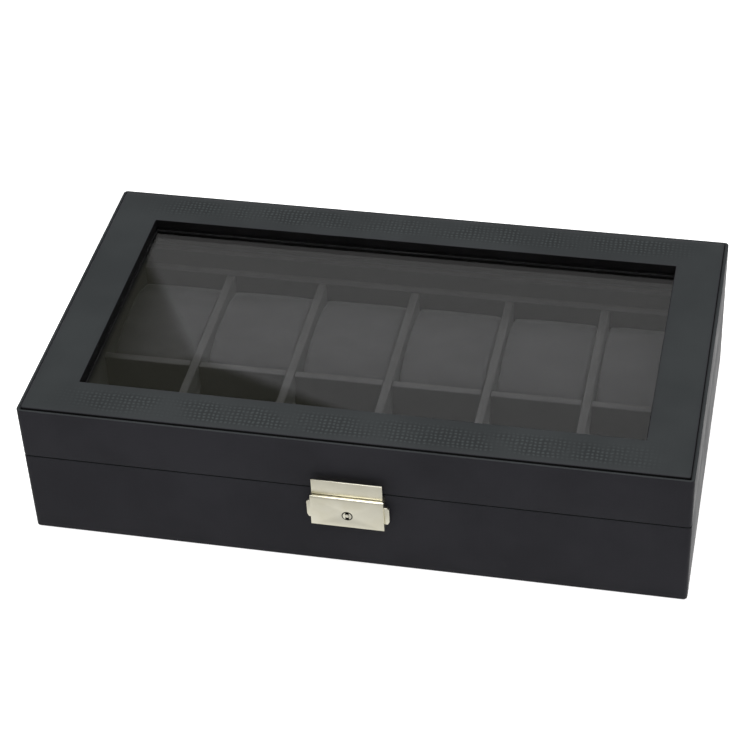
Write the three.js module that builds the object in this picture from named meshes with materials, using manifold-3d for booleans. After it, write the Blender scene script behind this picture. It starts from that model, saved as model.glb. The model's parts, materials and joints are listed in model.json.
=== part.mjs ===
// A watch box: a leatherette-covered case with a hinged glass-topped lid, a velvet-lined tray of twelve
// cells with removable cushions, and a box lock with two push tabs and a key barrel.
// Millimetres. Origin at the centre of the underside, +X to the right, +Y to the back, +Z up.
import * as THREE from "three";
import { mergeVertices } from "three/addons/utils/BufferGeometryUtils.js";
import Module from "manifold-3d";

const wasm = await Module();
wasm.setup();

// ---- driving dimensions -------------------------------------------------------------------------
const WIDTH = 335; // the case over its leatherette, left to right
const DEPTH = 190.5; // front to back
const HEIGHT = 79.8; // floor to the top of the padded covering
const SEAM_Z = 48.65; // middle of the joint between base and lid
const SEAM_GAP = 0.5;
const GAP = 0.3; // between pieces that touch on the real box
const CORNER_R = 2.2; // upright outside corners

const SKIN = 1.0; // leatherette of the base
const BOARD = 7.0; // base side boards
const LINER = 3.9; // velvet-covered lining board of the base
const BOTTOM_BOARD = 3.5;
const FLOOR_LINING = 1.2;
const FELT = 1.0;
const HEM = 11; // leatherette turned in under the base
const HEM_Z = 0.3; // underside of the hem, just above the felt's

const LID_SKIN = 0.7;
const LID_BOARD = 6.9;
const LID_TONGUE = 0.5; // thin upper lip of the lid boards, beside the padded top
const LID_LINING = 0.8;
const RIM_DROP = 1.2; // the rim stands this much below the padded top
const TOP_SKIN = 0.9;
const TOP_FOAM = 1.5;
const TOP_EDGE_R = 1.8; // rounding of the padded top's edges
const WINDOW_BORDER = 25.6; // outside of the case to the window opening
const GLASS = 3.0;
const GLASS_TOP_Z = 74.5;
const RETAINER = 1.2;

const COLUMNS = 6;
const ROWS = 2;
const DIVIDER = 4.5;
const DIVIDER_TOP_Z = 37.6;
const BACK_RAIL = 4.5; // ledge of the liner along the back of the tray, as high as the dividers
const CUSHION = { x: 45, y: 69, z: 29.6 };
const CUSHION_SLIDE = { front: -4.75, back: 0 }; // how far each row's cushions lie off the cells' middles

const HINGE_X = 110; // each hinge's distance from the middle
const LEAF = { width: 24, thick: 0.9, front: 7.1, seam: 0.1, plateClear: 0.2 };
const KNUCKLE_R = 1.8;
const KNUCKLE_CLEAR = 0.25; // knuckle to the back face
const PIN = { r: 0.8, proud: 0.4 };
const SCREW = { headR: 1.9, shaftR: 1.1, head: 0.9, length: 9, offset: 7.8 };
const SCREW_END = { land: 0.05, taper: 2.5, tip: 0.6, slotHalf: 0.25, slotDepth: 0.3 };

const LOCK = { halfWidth: 18.4, bottom: 30, top: 48.2, depth: 6.0, wall: 0.9, edgeR: 1.2 };
const STRIKE = { halfWidth: 17.8, top: 57.5, proud: 4.1, thick: 1.0, legProud: 2.1 };
const MOUNT = { halfWidth: 16.6, top: 54 }; // block between the strike's face and the lid
const LEG = { outer: 17.1, inner: 14.7, foot: 12.2, footLow: 36.6, footHigh: 38.2, below: 1.3 };
const TAB = { outer: 20.8, low: 32.7, high: 43.4, front: 2.0, thick: 1.5, chamfer: 0.9, step: 1.2 };
const NOSE = { inner: 12.3, outer: 13.8, low: 38.5, high: 40.4, reach: 1.3, root: 0.5 };
const BARREL = { r: 2.65, z: 37.4, proud: 0.05, pinR: 1.05, pinSunk: 0.1 };
const KEYHOLE = { slotWidth: 1.8, slotHeight: 4.8, slotDepth: 1.0 };
const CAM = { half: 6.2, halfWidth: 1.8, thick: 1.2 };
const SPRING = { z: 45.7, r: 0.75, wireR: 0.18, turns: 7 };
const POST = { halfWidth: 1.4, halfHeight: 0.9 }; // between the springs
const PRONG = { width: 1.8, length: 6.2, x: 9, z: 33.5 };

// ---- derived dimensions -------------------------------------------------------------------------
const HALF_X = WIDTH / 2;
const HALF_Y = DEPTH / 2;
const BASE_TOP = SEAM_Z - SEAM_GAP / 2;
const LID_BOTTOM = SEAM_Z + SEAM_GAP / 2;
const CUT = 1; // how far a cutting solid runs past a face

// Half sizes of the nested rectangles, counted inward from the case's outside.
const inset = (d) => [HALF_X - d, HALF_Y - d];
const BOARD_OUT = SKIN + GAP;
const BOARD_IN = BOARD_OUT + BOARD;
const LINER_OUT = BOARD_IN + GAP;
const LINER_IN = LINER_OUT + LINER;
const LID_BOARD_OUT = LID_SKIN + GAP;
const LID_BOARD_IN = LID_BOARD_OUT + LID_BOARD;
const LID_LINING_OUT = LID_BOARD_IN + GAP;
const LID_LINING_IN = LID_LINING_OUT + LID_LINING;
const TOP_OUT = LID_BOARD_OUT + LID_TONGUE + GAP;
const TOP_CORE_OUT = TOP_OUT + TOP_SKIN + GAP;
const WINDOW_CORE = WINDOW_BORDER - TOP_SKIN - GAP;

const BOTTOM_BOARD_Z = HEM_Z + SKIN + GAP;
const BOARD_Z = BOTTOM_BOARD_Z + BOTTOM_BOARD + GAP;
const BOARD_TOP = BASE_TOP - SKIN - GAP;
const TRAY_Z = BOARD_Z + FLOOR_LINING + GAP;
const LINER_DROP = 0.2;
const LINER_TOP = BASE_TOP - LINER_DROP;
const LID_BOARD_Z = LID_BOTTOM + LID_SKIN + GAP;
const RIM_TOP = HEIGHT - RIM_DROP;
const GLASS_Z = GLASS_TOP_Z - GLASS;
const RETAINER_Z = GLASS_Z - GAP - RETAINER;
const TOP_BOARD_Z = GLASS_TOP_Z + GAP;
const FOAM_TOP = HEIGHT - TOP_SKIN - GAP;
const FOAM_Z = FOAM_TOP - TOP_FOAM;

const TRAY_X = HALF_X - LINER_IN;
const TRAY_Y = HALF_Y - LINER_IN;
const CELL_X = (2 * TRAY_X - (COLUMNS - 1) * DIVIDER) / COLUMNS;
const CELL_Y = (2 * TRAY_Y - (ROWS - 1) * DIVIDER) / ROWS;

const AXIS_Y = HALF_Y + KNUCKLE_CLEAR + KNUCKLE_R;
const FRONT = -HALF_Y;
const SLIDER_FRONT = FRONT - LOCK.depth + TAB.front;
const STRIKE_FRONT = FRONT - STRIKE.proud;
const LEG_FRONT = FRONT - STRIKE.legProud;

// ---- materials ----------------------------------------------------------------------------------
const finish = (color, roughness, metalness = 0) =>
  new THREE.MeshStandardMaterial({ color, roughness, metalness });
const leatherette = finish(0x2b2d2f, 0.5);
const velvet = finish(0x303032, 0.95);
const mdf = finish(0x8a6a48, 0.85);
const felt = finish(0x1d1d1f, 0.98);
const foam = finish(0x55575a, 0.95);
const glass = finish(0xdfe6e8, 0.05);
glass.transparent = true;
glass.opacity = 0.3;
const nickel = finish(0xd9d2bd, 0.3, 0.95);
const steel = finish(0xb9bbbd, 0.35, 0.95);

// ---- geometry helpers ---------------------------------------------------------------------------
function solidOf(geometry) {
  const bare = geometry.clone();
  bare.deleteAttribute("normal");
  bare.deleteAttribute("uv");
  const merged = mergeVertices(bare, 1e-4);
  const vertProperties = new Float32Array(merged.attributes.position.array);
  const triVerts = new Uint32Array(merged.index.array);
  return new wasm.Manifold(new wasm.Mesh({ numProp: 3, vertProperties, triVerts }));
}

function geometryOf(solid) {
  const mesh = solid.getMesh();
  const geometry = new THREE.BufferGeometry();
  geometry.setAttribute("position", new THREE.BufferAttribute(mesh.vertProperties, 3));
  geometry.setIndex(new THREE.BufferAttribute(mesh.triVerts, 1));
  geometry.computeVertexNormals();
  return geometry;
}

const cut = (body, ...tools) => tools.reduce((solid, tool) => solid.subtract(tool), body);
const join = (body, ...more) => more.reduce((solid, piece) => solid.add(piece), body);

// A block from its low and high corners.
function block([x0, y0, z0], [x1, y1, z1]) {
  const geometry = new THREE.BoxGeometry(x1 - x0, y1 - y0, z1 - z0);
  geometry.translate((x0 + x1) / 2, (y0 + y1) / 2, (z0 + z1) / 2);
  return solidOf(geometry);
}

// A block centred on the Z axis, from half sizes and heights.
const slab = ([hx, hy], z0, z1) => block([-hx, -hy, z0], [hx, hy, z1]);

function roundedRect([hx, hy], r) {
  const shape = new THREE.Shape();
  shape.moveTo(-hx + r, -hy);
  shape.lineTo(hx - r, -hy);
  shape.absarc(hx - r, -hy + r, r, -Math.PI / 2, 0);
  shape.lineTo(hx, hy - r);
  shape.absarc(hx - r, hy - r, r, 0, Math.PI / 2);
  shape.lineTo(-hx + r, hy);
  shape.absarc(-hx + r, hy - r, r, Math.PI / 2, Math.PI);
  shape.lineTo(-hx, -hy + r);
  shape.absarc(-hx + r, -hy + r, r, Math.PI, 1.5 * Math.PI);
  return shape;
}

// A slab with rounded upright corners.
function roundedSlab(half, r, z0, z1) {
  const options = { depth: z1 - z0, bevelEnabled: false, curveSegments: 4 };
  const geometry = new THREE.ExtrudeGeometry(roundedRect(half, r), options);
  geometry.translate(0, 0, z0);
  return solidOf(geometry);
}

// A YZ outline pushed along X from x0 by the given length.
function alongX(outline, x0, length, curveSegments) {
  const geometry = new THREE.ExtrudeGeometry(outline, { depth: length, bevelEnabled: false, curveSegments });
  const yzToFrame = new THREE.Matrix4().set(0, 0, 1, x0, 1, 0, 0, 0, 0, 1, 0, 0, 0, 0, 0, 1);
  return solidOf(geometry.applyMatrix4(yzToFrame));
}

// An XZ outline pushed along Y from y0 by the given length, at height z.
function alongY(outline, y0, length, z = 0, curveSegments = 8) {
  const geometry = new THREE.ExtrudeGeometry(outline, { depth: length, bevelEnabled: false, curveSegments });
  const xzToFrame = new THREE.Matrix4().set(1, 0, 0, 0, 0, 0, -1, y0 + length, 0, 1, 0, z, 0, 0, 0, 1);
  return solidOf(geometry.applyMatrix4(xzToFrame));
}

// A cylinder or cone from one point to another along an axis of the frame.
function rod(from, to, r0, r1 = r0, sides = 16) {
  const start = new THREE.Vector3(...from);
  const way = new THREE.Vector3(...to).sub(start);
  const geometry = new THREE.CylinderGeometry(r1, r0, way.length(), sides);
  const up = new THREE.Vector3(0, 1, 0);
  geometry.applyQuaternion(new THREE.Quaternion().setFromUnitVectors(up, way.clone().normalize()));
  geometry.translate(...start.addScaledVector(way, 0.5).toArray());
  return solidOf(geometry);
}

const root = new THREE.Group();

function add(name, solid, material) {
  const mesh = new THREE.Mesh(geometryOf(solid), material);
  mesh.name = name;
  root.add(mesh);
}

// ---- hinge places, used by the leaves and by the notches and holes cut for them -------------------
const BASE_LEAF_Z = SEAM_Z - LEAF.seam - LEAF.thick;
const LID_LEAF_Z = SEAM_Z + LEAF.seam;
const LEAF_FRONT_Y = HALF_Y - LEAF.front;
const SCREW_Y = (LEAF_FRONT_Y + HALF_Y - SKIN) / 2;
const SIDES = [
  ["left", -1],
  ["right", 1],
];
const screwSpots = (hingeX) => [hingeX - SCREW.offset, hingeX + SCREW.offset];
const PILOT_CLEAR = 0.2;
const PRONG_HOLE_EXTRA = 1; // the prongs' holes go this much deeper than the prongs

// Notches for the leaves of both hinges through a covering's edge, from z0 to z1.
function leafNotches(z0, z1) {
  return SIDES.map(([, side]) => {
    const x = side * HINGE_X;
    const half = LEAF.width / 2 + GAP;
    return block([x - half, LEAF_FRONT_Y - GAP, z0], [x + half, HALF_Y + CUT, z1]);
  });
}

// Pilot holes for all screws of one half of the hinges, running from zFrom to zTo.
function pilotHoles(zFrom, zTo) {
  const r = SCREW.shaftR + PILOT_CLEAR;
  return SIDES.flatMap(([, side]) =>
    screwSpots(side * HINGE_X).map((x) => rod([x, SCREW_Y, zFrom], [x, SCREW_Y, zTo], r, r, 8)),
  );
}

// Holes for a pair of prongs through the front of the case at height z.
function prongHoles(z) {
  const half = PRONG.width / 2 + GAP;
  const holeEnd = FRONT + PRONG.length + PRONG_HOLE_EXTRA;
  return SIDES.map(([, side]) => {
    const x = side * PRONG.x;
    return block([x - half, FRONT - CUT, z - half], [x + half, holeEnd, z + half]);
  });
}

function prongs(z, start) {
  const half = PRONG.width / 2;
  return SIDES.map(([, side]) => {
    const x = side * PRONG.x;
    return block([x - half, start, z - half], [x + half, FRONT + PRONG.length, z + half]);
  });
}

const STRIKE_BOTTOM = LOCK.top + GAP;
const STRIKE_PRONG_Z = (STRIKE_BOTTOM + MOUNT.top) / 2;

// ---- base ---------------------------------------------------------------------------------------
function addBase() {
  add("bottom_felt", slab(inset(SKIN + HEM + GAP), 0, FELT), felt);
  add("bottom_board", slab(inset(BOARD_OUT), BOTTOM_BOARD_Z, BOTTOM_BOARD_Z + BOTTOM_BOARD), mdf);

  const cover = cut(
    roundedSlab(inset(0), CORNER_R, HEM_Z, BASE_TOP),
    slab(inset(SKIN), HEM_Z + SKIN, BASE_TOP - SKIN),
    slab(inset(BOARD_IN), BASE_TOP - SKIN - CUT, BASE_TOP + CUT),
    slab(inset(SKIN + HEM), HEM_Z - CUT, HEM_Z + SKIN + CUT),
    ...leafNotches(BASE_LEAF_Z - GAP, BASE_TOP + CUT),
    ...prongHoles(PRONG.z),
  );
  add("base_leatherette", cover, leatherette);

  const [bx, by] = inset(BOARD_OUT);
  const [ix, iy] = inset(BOARD_IN);
  const front = block([-bx, -by, BOARD_Z], [bx, -iy, BOARD_TOP]);
  const back = block([-bx, iy, BOARD_Z], [bx, by, BOARD_TOP]);
  add("base_front_board", cut(front, ...prongHoles(PRONG.z)), mdf);
  add("base_back_board", cut(back, ...pilotHoles(BOARD_TOP + CUT, BASE_LEAF_Z - SCREW.length)), mdf);
  add("base_left_board", block([-bx, -iy + GAP, BOARD_Z], [-ix, iy - GAP, BOARD_TOP]), mdf);
  add("base_right_board", block([ix, -iy + GAP, BOARD_Z], [bx, iy - GAP, BOARD_TOP]), mdf);
}

// ---- tray: linings and dividers -----------------------------------------------------------------
const columnX = (i) => -TRAY_X + CELL_X / 2 + i * (CELL_X + DIVIDER);
const rowY = (j) => -TRAY_Y + CELL_Y / 2 + j * (CELL_Y + DIVIDER);
const crossX = (i) => (columnX(i) + columnX(i + 1)) / 2;

function addTray() {
  add("floor_lining", slab(inset(LINER_OUT), BOARD_Z, BOARD_Z + FLOOR_LINING), velvet);
  const ring = cut(
    slab(inset(LINER_OUT), TRAY_Z, LINER_TOP),
    slab(inset(LINER_IN), TRAY_Z - CUT, LINER_TOP + CUT),
  );
  const railLow = [-TRAY_X - CUT, TRAY_Y - BACK_RAIL, TRAY_Z];
  const rail = block(railLow, [TRAY_X + CUT, TRAY_Y + CUT, DIVIDER_TOP_Z]);
  add("base_liner", join(ring, rail), velvet);

  const halfD = DIVIDER / 2;
  const midZ = (TRAY_Z + DIVIDER_TOP_Z) / 2;
  const endX = TRAY_X - GAP;
  const frontEnd = GAP - TRAY_Y;
  const backEnd = TRAY_Y - BACK_RAIL - GAP;
  const slots = [];
  for (let i = 0; i < COLUMNS - 1; i++) {
    const x = crossX(i);
    const board = block([x - halfD, frontEnd, TRAY_Z], [x + halfD, backEnd, DIVIDER_TOP_Z]);
    const lap = block(
      [x - halfD - CUT, -halfD - GAP, TRAY_Z - CUT],
      [x + halfD + CUT, halfD + GAP, midZ + GAP],
    );
    add(`cross_divider_${i + 1}`, cut(board, lap), velvet);
    const slotLow = [x - halfD - GAP, -halfD - CUT, midZ];
    slots.push(block(slotLow, [x + halfD + GAP, halfD + CUT, DIVIDER_TOP_Z + CUT]));
  }
  const long = block([-endX, -halfD, TRAY_Z], [endX, halfD, DIVIDER_TOP_Z]);
  add("long_divider", cut(long, ...slots), velvet);
}

// ---- cushions: a pillow with round front and back ends, one in each cell ------------------------
function addCushions() {
  const r = CUSHION.z / 2;
  const straight = CUSHION.y / 2 - r;
  const section = new THREE.Shape();
  section.moveTo(-straight, -r);
  section.lineTo(straight, -r);
  section.absarc(straight, 0, r, -Math.PI / 2, Math.PI / 2);
  section.lineTo(-straight, r);
  section.absarc(-straight, 0, r, Math.PI / 2, 1.5 * Math.PI);
  const pillow = alongX(section, -CUSHION.x / 2, CUSHION.x, 12);
  ["front", "back"].forEach((row, j) => {
    for (let i = 0; i < COLUMNS; i++) {
      const cushion = new THREE.Mesh(geometryOf(pillow), velvet);
      cushion.name = `cushion_${row}_${i + 1}`;
      cushion.position.set(columnX(i), rowY(j) + CUSHION_SLIDE[row], TRAY_Z + r);
      root.add(cushion);
    }
  });
}

// ---- lid ----------------------------------------------------------------------------------------
function addLidSides() {
  const cover = cut(
    roundedSlab(inset(0), CORNER_R, LID_BOTTOM, RIM_TOP),
    slab(inset(LID_SKIN), LID_BOTTOM + LID_SKIN, RIM_TOP - LID_SKIN),
    slab(inset(LID_BOARD_IN), LID_BOTTOM - CUT, LID_BOTTOM + LID_SKIN + CUT),
    slab(inset(LID_BOARD_OUT + LID_TONGUE), RIM_TOP - LID_SKIN - CUT, RIM_TOP + CUT),
    ...leafNotches(LID_BOTTOM - CUT, LID_LEAF_Z + LEAF.thick + GAP),
    ...prongHoles(STRIKE_PRONG_Z),
  );
  add("lid_leatherette", cover, leatherette);

  // Each board is rebated: its full thickness ends under the top frame, and a thin lip goes on up.
  const [bx, by] = inset(LID_BOARD_OUT);
  const [ix, iy] = inset(LID_BOARD_IN);
  const [tx, ty] = inset(LID_BOARD_OUT + LID_TONGUE);
  const lipTop = RIM_TOP - LID_SKIN - GAP;
  const rebate = slab([tx, ty], GLASS_TOP_Z, lipTop + CUT);
  const z = LID_BOARD_Z;
  const front = block([-bx, -by, z], [bx, -iy, lipTop]);
  const back = block([-bx, iy, z], [bx, by, lipTop]);
  const left = block([-bx, -iy + GAP, z], [-ix, iy - GAP, lipTop]);
  const right = block([ix, -iy + GAP, z], [bx, iy - GAP, lipTop]);
  const pilots = pilotHoles(z - CUT, LID_LEAF_Z + LEAF.thick + SCREW.length);
  add("lid_front_board", cut(front, rebate, ...prongHoles(STRIKE_PRONG_Z)), mdf);
  add("lid_back_board", cut(back, rebate, ...pilots), mdf);
  add("lid_left_board", cut(left, rebate), mdf);
  add("lid_right_board", cut(right, rebate), mdf);

  const liningTop = RETAINER_Z - GAP;
  const lining = cut(
    slab(inset(LID_LINING_OUT), LID_BOTTOM, liningTop),
    slab(inset(LID_LINING_IN), LID_BOTTOM - CUT, liningTop + CUT),
  );
  add("lid_lining", lining, velvet);
}

function addLidTop() {
  const frame = cut(
    slab(inset(TOP_CORE_OUT), TOP_BOARD_Z, FOAM_Z - GAP),
    slab(inset(WINDOW_CORE), TOP_BOARD_Z - CUT, FOAM_Z + CUT),
  );
  add("top_frame_board", frame, mdf);
  const pad = cut(
    slab(inset(TOP_CORE_OUT), FOAM_Z, FOAM_TOP),
    slab(inset(WINDOW_CORE), FOAM_Z - CUT, FOAM_TOP + CUT),
  );
  add("top_padding", pad, foam);

  // The covering goes over the padding and down both edges; its outline is a ring with rounded edges.
  const ring = roundedRect(inset(TOP_OUT + TOP_EDGE_R), CORNER_R - TOP_EDGE_R);
  const [wx, wy] = inset(WINDOW_BORDER - TOP_EDGE_R);
  const hole = new THREE.Path();
  hole.moveTo(-wx, -wy);
  hole.lineTo(-wx, wy);
  hole.lineTo(wx, wy);
  hole.lineTo(wx, -wy);
  ring.holes.push(hole);
  const depth = HEIGHT - TOP_BOARD_Z - TOP_EDGE_R;
  const bevel = { bevelThickness: TOP_EDGE_R, bevelSize: TOP_EDGE_R, bevelSegments: 3 };
  const body = new THREE.ExtrudeGeometry(ring, { depth, ...bevel, curveSegments: 2 });
  body.translate(0, 0, HEIGHT - TOP_EDGE_R - depth);
  const whole = cut(solidOf(body), slab(inset(0), 0, TOP_BOARD_Z));
  const outerFill = slab(inset(TOP_OUT + TOP_SKIN), TOP_BOARD_Z - CUT, HEIGHT - TOP_SKIN);
  const fill = cut(outerFill, slab(inset(WINDOW_BORDER - TOP_SKIN), 0, HEIGHT + CUT));
  add("top_leatherette", cut(whole, fill), leatherette);

  const [gx, gy] = inset(LID_BOARD_IN + GAP);
  add("glass_pane", slab([gx, gy], GLASS_Z, GLASS_TOP_Z), glass);
  const retainer = cut(
    slab([gx, gy], RETAINER_Z, RETAINER_Z + RETAINER),
    slab(inset(WINDOW_BORDER), RETAINER_Z - CUT, RETAINER_Z + RETAINER + CUT),
  );
  add("glass_retainer", retainer, velvet);
}

// ---- hinges -------------------------------------------------------------------------------------
function addHinges() {
  const half = LEAF.width / 2;
  const third = half / 3;
  const plateBack = AXIS_Y - KNUCKLE_R - LEAF.plateClear; // clear of the other leaf's knuckle
  const knuckleGap = GAP / 2;
  // [from, to] along the hinge, from its middle
  const baseKnuckles = [[-third + knuckleGap, third - knuckleGap]];
  const lidKnuckles = [
    [-half, -third - knuckleGap],
    [third + knuckleGap, half],
  ];
  const countersink = SCREW.headR + PILOT_CLEAR;

  const leaf = (x, z, knuckles, headZ, tipZ) => {
    const plate = block([x - half, LEAF_FRONT_Y, z], [x + half, plateBack, z + LEAF.thick]);
    const arms = knuckles.map(([a, b]) =>
      block([x + a, plateBack - CUT, z], [x + b, AXIS_Y, z + LEAF.thick]),
    );
    const rolls = knuckles.map(([a, b]) => rod([x + a, AXIS_Y, SEAM_Z], [x + b, AXIS_Y, SEAM_Z], KNUCKLE_R));
    const bore = rod([x - half - CUT, AXIS_Y, SEAM_Z], [x + half + CUT, AXIS_Y, SEAM_Z], PIN.r + GAP / 2);
    const sinks = screwSpots(x).map((sx) =>
      rod([sx, SCREW_Y, headZ], [sx, SCREW_Y, tipZ], countersink, SCREW.shaftR + PILOT_CLEAR, 12),
    );
    return cut(join(plate, ...arms, ...rolls), bore, ...sinks);
  };

  SIDES.forEach(([side, sign]) => {
    const x = sign * HINGE_X;
    const baseTop = BASE_LEAF_Z + LEAF.thick;
    const lidTop = LID_LEAF_Z + LEAF.thick;
    const baseLeaf = leaf(x, BASE_LEAF_Z, baseKnuckles, baseTop, BASE_LEAF_Z);
    const lidLeaf = leaf(x, LID_LEAF_Z, lidKnuckles, LID_LEAF_Z, lidTop);
    add(`hinge_${side}_base_leaf`, baseLeaf, steel);
    add(`hinge_${side}_lid_leaf`, lidLeaf, steel);
    const pinHalf = half + PIN.proud;
    add(`hinge_${side}_pin`, rod([x - pinHalf, AXIS_Y, SEAM_Z], [x + pinHalf, AXIS_Y, SEAM_Z], PIN.r), steel);
    screwSpots(x).forEach((sx, i) => {
      add(`hinge_${side}_base_screw_${i + 1}`, screw(sx, baseTop - SCREW_END.land, -1), steel);
      add(`hinge_${side}_lid_screw_${i + 1}`, screw(sx, LID_LEAF_Z + SCREW_END.land, 1), steel);
    });
  });
}

// A countersunk wood screw with its head's face at z, running the given way along Z.
function screw(x, z, way) {
  const profile = [
    [0, 0],
    [SCREW.headR, 0],
    [SCREW.headR, SCREW_END.land],
    [SCREW.shaftR, SCREW.head],
    [SCREW.shaftR, SCREW.length - SCREW_END.taper],
    [0, SCREW.length - SCREW_END.tip],
  ];
  const geometry = new THREE.LatheGeometry(profile.map(([r, h]) => new THREE.Vector2(r, h)), 12);
  geometry.rotateX(way > 0 ? Math.PI / 2 : -Math.PI / 2);
  geometry.translate(x, SCREW_Y, z);
  const { slotHalf, slotDepth } = SCREW_END;
  const slot = block(
    [x - SCREW.headR, SCREW_Y - slotHalf, z - slotDepth],
    [x + SCREW.headR, SCREW_Y + slotHalf, z + slotDepth],
  );
  return cut(solidOf(geometry), slot);
}

// ---- lock ---------------------------------------------------------------------------------------
const LOCK_FRONT = FRONT - LOCK.depth;
const PLATE_BACK = FRONT - 0.2;
const PLATE = 0.6;
const BARREL_AXIS = (y) => [0, y, BARREL.z];

function addLockCase() {
  const { halfWidth, bottom, top, wall, edgeR } = LOCK;
  // The section in YZ has a rounded upper front edge, and runs the width of the case.
  const section = new THREE.Shape();
  section.moveTo(LOCK_FRONT, bottom);
  section.lineTo(PLATE_BACK, bottom);
  section.lineTo(PLATE_BACK, top);
  section.lineTo(LOCK_FRONT + edgeR, top);
  section.absarc(LOCK_FRONT + edgeR, top - edgeR, edgeR, Math.PI / 2, Math.PI);
  const shell = alongX(section, -halfWidth, 2 * halfWidth, 4);
  const inner = halfWidth - wall;
  const cavity = block([-inner, LOCK_FRONT + wall, bottom + wall], [inner, PLATE_BACK + CUT, top - wall]);
  // The strike's legs drop in behind the top lip.
  const mouth = block([-inner, LEG_FRONT - GAP, top - wall - CUT], [inner, PLATE_BACK + CUT, top + CUT]);
  const windowY = [SLIDER_FRONT - GAP, SLIDER_FRONT + TAB.thick + GAP];
  const windows = SIDES.map(([, side]) => {
    const [x0, x1] = side > 0 ? [inner - CUT, halfWidth + CUT] : [-halfWidth - CUT, -inner + CUT];
    return block([x0, windowY[0], TAB.low - GAP], [x1, windowY[1], TAB.high + GAP]);
  });
  const boreR = BARREL.r + GAP / 2;
  const bore = rod(BARREL_AXIS(LOCK_FRONT - CUT), BARREL_AXIS(LOCK_FRONT + wall + CUT), boreR, boreR, 24);
  add("lock_case", cut(shell, cavity, mouth, bore, ...windows), nickel);

  const plate = block(
    [-inner + GAP, PLATE_BACK - PLATE, bottom + wall + GAP],
    [inner - GAP, PLATE_BACK, top - wall - GAP],
  );
  // A short post between the springs' inner ends.
  const post = block(
    [-POST.halfWidth, SLIDER_FRONT, SPRING.z - POST.halfHeight],
    [POST.halfWidth, PLATE_BACK, SPRING.z + POST.halfHeight],
  );
  add("lock_back_plate", join(plate, post, ...prongs(PRONG.z, PLATE_BACK - PLATE / 2)), steel);
}

// One latch: the tab outside the case, the slider inside it with a shoulder that stops it, a spur
// for the spring, and a nose that hooks over the strike's foot.
function addLatches() {
  const inner = LOCK.halfWidth - LOCK.wall;
  const back = SLIDER_FRONT + TAB.thick;
  const sliderEnd = CAM.half + GAP;
  const spurTop = LOCK.top - LOCK.wall - GAP;
  const { chamfer } = TAB;
  const stepLow = TAB.low + TAB.step;
  SIDES.forEach(([side, sign]) => {
    const outline = new THREE.Shape();
    outline.moveTo(sliderEnd, stepLow);
    outline.lineTo(inner - GAP, stepLow);
    outline.lineTo(inner - GAP, TAB.low);
    outline.lineTo(TAB.outer - chamfer, TAB.low);
    outline.lineTo(TAB.outer, TAB.low + 2 * chamfer);
    outline.lineTo(TAB.outer, TAB.high - chamfer);
    outline.lineTo(TAB.outer - chamfer, TAB.high);
    outline.lineTo(inner - GAP, TAB.high);
    outline.lineTo(inner - GAP, spurTop);
    outline.lineTo(sliderEnd, spurTop);
    const plate = alongY(outline, SLIDER_FRONT, TAB.thick);
    const nose = block([NOSE.inner, back - NOSE.root, NOSE.low], [NOSE.outer, back + NOSE.reach, NOSE.high]);
    const whole = join(plate, nose);
    add(`latch_tab_${side}`, sign > 0 ? whole : whole.mirror([1, 0, 0]), nickel);

    const coil = new Coil(sliderEnd - GAP, POST.halfWidth + GAP);
    const steps = SPRING.turns * 8;
    const ring = new THREE.Shape().absarc(0, 0, SPRING.wireR, 0, 2 * Math.PI);
    const wire = new THREE.ExtrudeGeometry(ring, { steps, extrudePath: coil, curveSegments: 3 });
    wire.scale(sign, 1, 1);
    if (sign < 0) {
      flip(wire);
    }
    add(`latch_spring_${side}`, solidOf(wire), steel);
  });
}

// The latch spring's wire: a helix along X from one end to the other.
class Coil extends THREE.Curve {
  constructor(from, to) {
    super();
    this.from = from;
    this.to = to;
  }

  getPoint(t, target = new THREE.Vector3()) {
    const turn = 2 * Math.PI * SPRING.turns * t;
    const room = SPRING.wireR;
    const start = this.to + room;
    const x = start + (this.from - room - start) * t;
    const y = SLIDER_FRONT + TAB.thick / 2 + SPRING.r * Math.cos(turn);
    return target.set(x, y, SPRING.z + SPRING.r * Math.sin(turn));
  }
}

// Turns a geometry's faces round after it has been mirrored.
function flip(geometry) {
  const p = geometry.attributes.position;
  for (let i = 0; i < p.count; i += 3) {
    const a = new THREE.Vector3().fromBufferAttribute(p, i);
    const b = new THREE.Vector3().fromBufferAttribute(p, i + 1);
    p.setXYZ(i, b.x, b.y, b.z);
    p.setXYZ(i + 1, a.x, a.y, a.z);
  }
}

function addKeyBarrel() {
  const front = LOCK_FRONT - BARREL.proud;
  const camFront = SLIDER_FRONT + (TAB.thick - CAM.thick) / 2;
  const body = rod(BARREL_AXIS(front), BARREL_AXIS(camFront + CUT / 2), BARREL.r, BARREL.r, 24);
  const cam = new THREE.Shape();
  const straight = CAM.half - CAM.halfWidth;
  cam.moveTo(CAM.halfWidth, -straight);
  cam.lineTo(CAM.halfWidth, straight);
  cam.absarc(0, straight, CAM.halfWidth, 0, Math.PI);
  cam.lineTo(-CAM.halfWidth, -straight);
  cam.absarc(0, -straight, CAM.halfWidth, Math.PI, 2 * Math.PI);
  const plate = alongY(cam, camFront, CAM.thick, BARREL.z);
  // The keyhole is an upright slot, parted by a round pin that fills its middle.
  const { slotWidth, slotHeight, slotDepth } = KEYHOLE;
  const slot = block(
    [-slotWidth / 2, front - CUT, BARREL.z - slotHeight / 2],
    [slotWidth / 2, front + slotDepth, BARREL.z + slotHeight / 2],
  );
  const { pinR, pinSunk } = BARREL;
  const pin = rod(BARREL_AXIS(front + pinSunk), BARREL_AXIS(front + slotDepth + CUT / 2), pinR, pinR, 12);
  add("key_barrel", join(cut(join(body, plate), slot), pin), nickel);
}

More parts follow.
